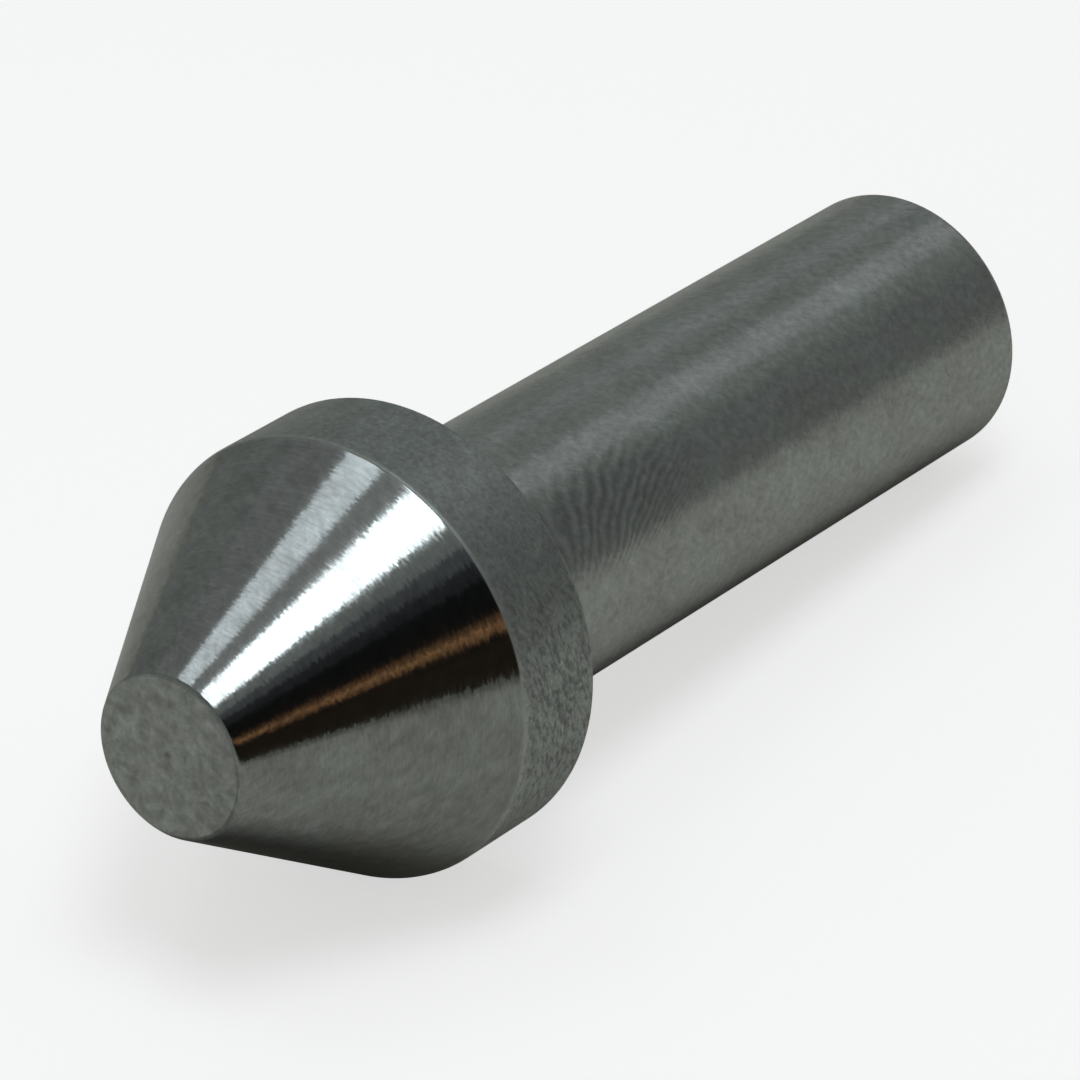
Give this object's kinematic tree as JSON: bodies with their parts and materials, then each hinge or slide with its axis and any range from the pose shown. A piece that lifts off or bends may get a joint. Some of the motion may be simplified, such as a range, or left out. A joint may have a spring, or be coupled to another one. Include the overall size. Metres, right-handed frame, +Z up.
{
  "type": "live center",
  "caption": "Straight-shank live center: a blunt 60 degree cone head with a short band turns on ball bearings around a fixed spindle that ends in a plain cylindrical shank.",
  "frame": {"origin": "on the axis at the gauge plane, where the full ground diameter of the shank starts, 0.5 mm behind the head", "axes": "+X along the axis from the head to the tail of the shank, +Z up, the nose points along -X"},
  "size_m": [0.0813, 0.03, 0.03],
  "materials": {
    "ground_steel": "ground and turned",
    "black_oxide_steel": "black oxide",
    "nitrile_rubber": "smooth",
    "spring_steel": "rolled strip",
    "bearing_steel": "ground",
    "pressed_steel": "pressed sheet",
    "bearing_ball": "polished",
    "cage_brass": "machined"
  },
  "bodies": {
    "fixed_spindle": {"spindle": "ground_steel", "retaining_ring": "black_oxide_steel", "main_inner_ring": "bearing_steel", "thrust_shaft_washer": "bearing_steel", "front_inner_ring": "bearing_steel"},
    "head": {"cone_head": "ground_steel", "cover_nut": "black_oxide_steel", "shaft_seal": "nitrile_rubber", "preload_spring": "spring_steel", "main_outer_ring": "bearing_steel", "main_shield_rear": "pressed_steel", "main_shield_front": "pressed_steel", "thrust_housing_washer": "bearing_steel", "front_outer_ring": "bearing_steel", "front_shield_rear": "pressed_steel", "front_shield_front": "pressed_steel"},
    "main_ball_set": {"main_cage": "pressed_steel", "main_balls": "bearing_ball"},
    "thrust_ball_set": {"thrust_cage": "cage_brass", "thrust_balls": "bearing_ball"},
    "front_ball_set": {"front_cage": "pressed_steel", "front_balls": "bearing_ball"}
  },
  "joints": [
    {"name": "head_spin", "type": "hinge", "parent": "fixed_spindle", "child": "head", "pos_m": [0, 0, 0], "axis": [1, 0, 0], "continuous": true},
    {"name": "main_ball_set_spin", "type": "hinge", "parent": "fixed_spindle", "child": "main_ball_set", "pos_m": [-0.0066, 0, 0], "axis": [1, 0, 0], "continuous": true},
    {"name": "thrust_ball_set_spin", "type": "hinge", "parent": "fixed_spindle", "child": "thrust_ball_set", "pos_m": [-0.0133, 0, 0], "axis": [1, 0, 0], "continuous": true},
    {"name": "front_ball_set_spin", "type": "hinge", "parent": "fixed_spindle", "child": "front_ball_set", "pos_m": [-0.0181, 0, 0], "axis": [1, 0, 0], "continuous": true}
  ],
  "couplings": [
    {"joint": "main_ball_set_spin", "follows": "head_spin", "ratio": 0.5723},
    {"joint": "thrust_ball_set_spin", "follows": "head_spin", "ratio": 0.5},
    {"joint": "front_ball_set_spin", "follows": "head_spin", "ratio": 0.5883}
  ]
}
